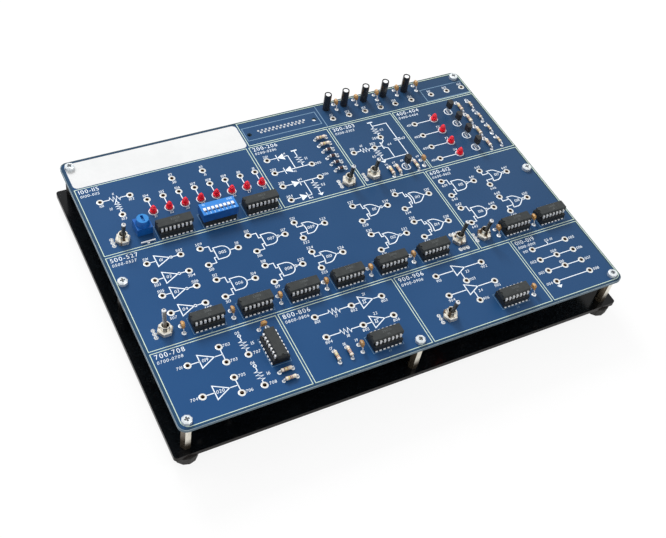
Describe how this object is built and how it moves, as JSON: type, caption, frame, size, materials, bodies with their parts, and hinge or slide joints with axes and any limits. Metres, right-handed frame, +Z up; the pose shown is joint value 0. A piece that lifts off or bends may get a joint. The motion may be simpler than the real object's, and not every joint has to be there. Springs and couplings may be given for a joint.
{
  "type": "digital logic trainer",
  "caption": "Bench circuit board on pillars over a base plate, with jack bores, socketed chips, toggle switches, a slide-switch block, lamps, a trimmer and a rear D connector.",
  "frame": {"origin": "centre of the bounding box, level with the bottoms of the feet", "axes": "+X along the long side to the right of the user, +Y to the rear where the connector is, +Z up"},
  "size_m": [0.295, 0.208, 0.0493],
  "materials": {
    "base_plate": "glossy black sheet",
    "rubber_feet": "matt black rubber",
    "pillars": "nickel-plated brass",
    "base_screws": "zinc-plated steel",
    "board_screws": "bright zinc-plated steel",
    "circuit_board": "blue solder mask on glass laminate",
    "sockets_14": "black moulded plastic",
    "sockets_16": "black moulded plastic",
    "logic_chips_14": "dark grey moulded epoxy",
    "logic_chips_16": "dark grey moulded epoxy",
    "chip_legs": "tinned metal",
    "switch_housing": "blue moulded plastic",
    "switch_slider": "white plastic",
    "toggle_bodies": "dark red moulded plastic",
    "toggle_bushings": "nickel-plated",
    "toggle_nuts": "nickel-plated",
    "toggle_lever": "bright plated",
    "toggle_terminals": "tinned",
    "trimmer_housing": "blue moulded plastic",
    "trimmer_rotor": "white plastic",
    "wire_link": "tinned wire",
    "indicator_lamps": "clear red epoxy",
    "capacitor_cans": "bare aluminium",
    "capacitor_sleeves": "black shrink sleeve",
    "ceramic_capacitors": "orange dipped coating",
    "ceramic_leads": "tinned wire",
    "resistors": "tan lacquer with colour rings",
    "diodes": "glass body",
    "bent_leads": "tinned wire",
    "transistors": "black moulded plastic",
    "transistor_leads": "tinned wire",
    "connector_shell": "tin-plated steel",
    "connector_insulator": "black moulded plastic",
    "connector_contacts": "tinned metal",
    "jack_screws": "plated steel"
  },
  "bodies": {
    "trainer": {"base_plate": "base_plate", "rubber_feet": "rubber_feet", "pillars": "pillars", "base_screws": "base_screws", "board_screws": "board_screws", "circuit_board": "circuit_board", "sockets_14": "sockets_14", "sockets_16": "sockets_16", "logic_chips_14": "logic_chips_14", "logic_chips_16": "logic_chips_16", "chip_legs": "chip_legs", "switch_housing": "switch_housing", "toggle_bodies": "toggle_bodies", "toggle_bushings": "toggle_bushings", "toggle_nuts": "toggle_nuts", "toggle_terminals": "toggle_terminals", "trimmer_housing": "trimmer_housing", "wire_link": "wire_link", "indicator_lamps": "indicator_lamps", "capacitor_cans": "capacitor_cans", "capacitor_sleeves": "capacitor_sleeves", "ceramic_capacitors": "ceramic_capacitors", "ceramic_leads": "ceramic_leads", "resistors": "resistors", "diodes": "diodes", "bent_leads": "bent_leads", "transistors": "transistors", "transistor_leads": "transistor_leads", "connector_shell": "connector_shell", "connector_insulator": "connector_insulator", "connector_contacts": "connector_contacts", "jack_screws": "jack_screws"},
    "toggle_1": {"lever_1": "toggle_lever"},
    "toggle_2": {"lever_2": "toggle_lever"},
    "toggle_3": {"lever_3": "toggle_lever"},
    "toggle_4": {"lever_4": "toggle_lever"},
    "toggle_5": {"lever_5": "toggle_lever"},
    "toggle_6": {"lever_6": "toggle_lever"},
    "toggle_7": {"lever_7": "toggle_lever"},
    "switch_1": {"slider_1": "switch_slider"},
    "switch_2": {"slider_2": "switch_slider"},
    "switch_3": {"slider_3": "switch_slider"},
    "switch_4": {"slider_4": "switch_slider"},
    "switch_5": {"slider_5": "switch_slider"},
    "switch_6": {"slider_6": "switch_slider"},
    "switch_7": {"slider_7": "switch_slider"},
    "switch_8": {"slider_8": "switch_slider"},
    "trimmer": {"trimmer_rotor": "trimmer_rotor"}
  },
  "joints": [
    {"name": "toggle_1_rock", "type": "hinge", "parent": "trainer", "child": "toggle_1", "pos_m": [-0.12828, 0.0307, 0.0334], "axis": [-1, 0, 0], "range_deg": [0, 17]},
    {"name": "toggle_2_rock", "type": "hinge", "parent": "trainer", "child": "toggle_2", "pos_m": [-0.12888, -0.039, 0.0334], "axis": [1, 0, 0], "range_deg": [0, 17]},
    {"name": "toggle_3_rock", "type": "hinge", "parent": "trainer", "child": "toggle_3", "pos_m": [0.02012, 0.0291, 0.0334], "axis": [-1, 0, 0], "range_deg": [0, 17]},
    {"name": "toggle_4_rock", "type": "hinge", "parent": "trainer", "child": "toggle_4", "pos_m": [0.03822, 0.0294, 0.0334], "axis": [-1, 0, 0], "range_deg": [0, 17]},
    {"name": "toggle_5_rock", "type": "hinge", "parent": "trainer", "child": "toggle_5", "pos_m": [0.06212, -0.0386, 0.0334], "axis": [0, -1, 0], "range_deg": [0, 17]},
    {"name": "toggle_6_rock", "type": "hinge", "parent": "trainer", "child": "toggle_6", "pos_m": [0.07932, -0.0405, 0.0334], "axis": [-1, 0, 0], "range_deg": [0, 17]},
    {"name": "toggle_7_rock", "type": "hinge", "parent": "trainer", "child": "toggle_7", "pos_m": [0.02652, -0.0874, 0.0334], "axis": [-1, 0, 0], "range_deg": [0, 17]},
    {"name": "switch_1_slide", "type": "slide", "parent": "trainer", "child": "switch_1", "axis": [0, -1, 0], "range_m": [0, 0.0015]},
    {"name": "switch_2_slide", "type": "slide", "parent": "trainer", "child": "switch_2", "axis": [0, -1, 0], "range_m": [0, 0.0015]},
    {"name": "switch_3_slide", "type": "slide", "parent": "trainer", "child": "switch_3", "axis": [0, -1, 0], "range_m": [0, 0.0015]},
    {"name": "switch_4_slide", "type": "slide", "parent": "trainer", "child": "switch_4", "axis": [0, -1, 0], "range_m": [0, 0.0015]},
    {"name": "switch_5_slide", "type": "slide", "parent": "trainer", "child": "switch_5", "axis": [0, -1, 0], "range_m": [0, 0.0015]},
    {"name": "switch_6_slide", "type": "slide", "parent": "trainer", "child": "switch_6", "axis": [0, -1, 0], "range_m": [0, 0.0015]},
    {"name": "switch_7_slide", "type": "slide", "parent": "trainer", "child": "switch_7", "axis": [0, -1, 0], "range_m": [0, 0.0015]},
    {"name": "switch_8_slide", "type": "slide", "parent": "trainer", "child": "switch_8", "axis": [0, -1, 0], "range_m": [0, 0.0015]},
    {"name": "trimmer_turn", "type": "hinge", "parent": "trainer", "child": "trimmer", "pos_m": [-0.11468, 0.0351, 0.038], "axis": [0, 0, 1], "range_deg": [-135, 135]}
  ]
}
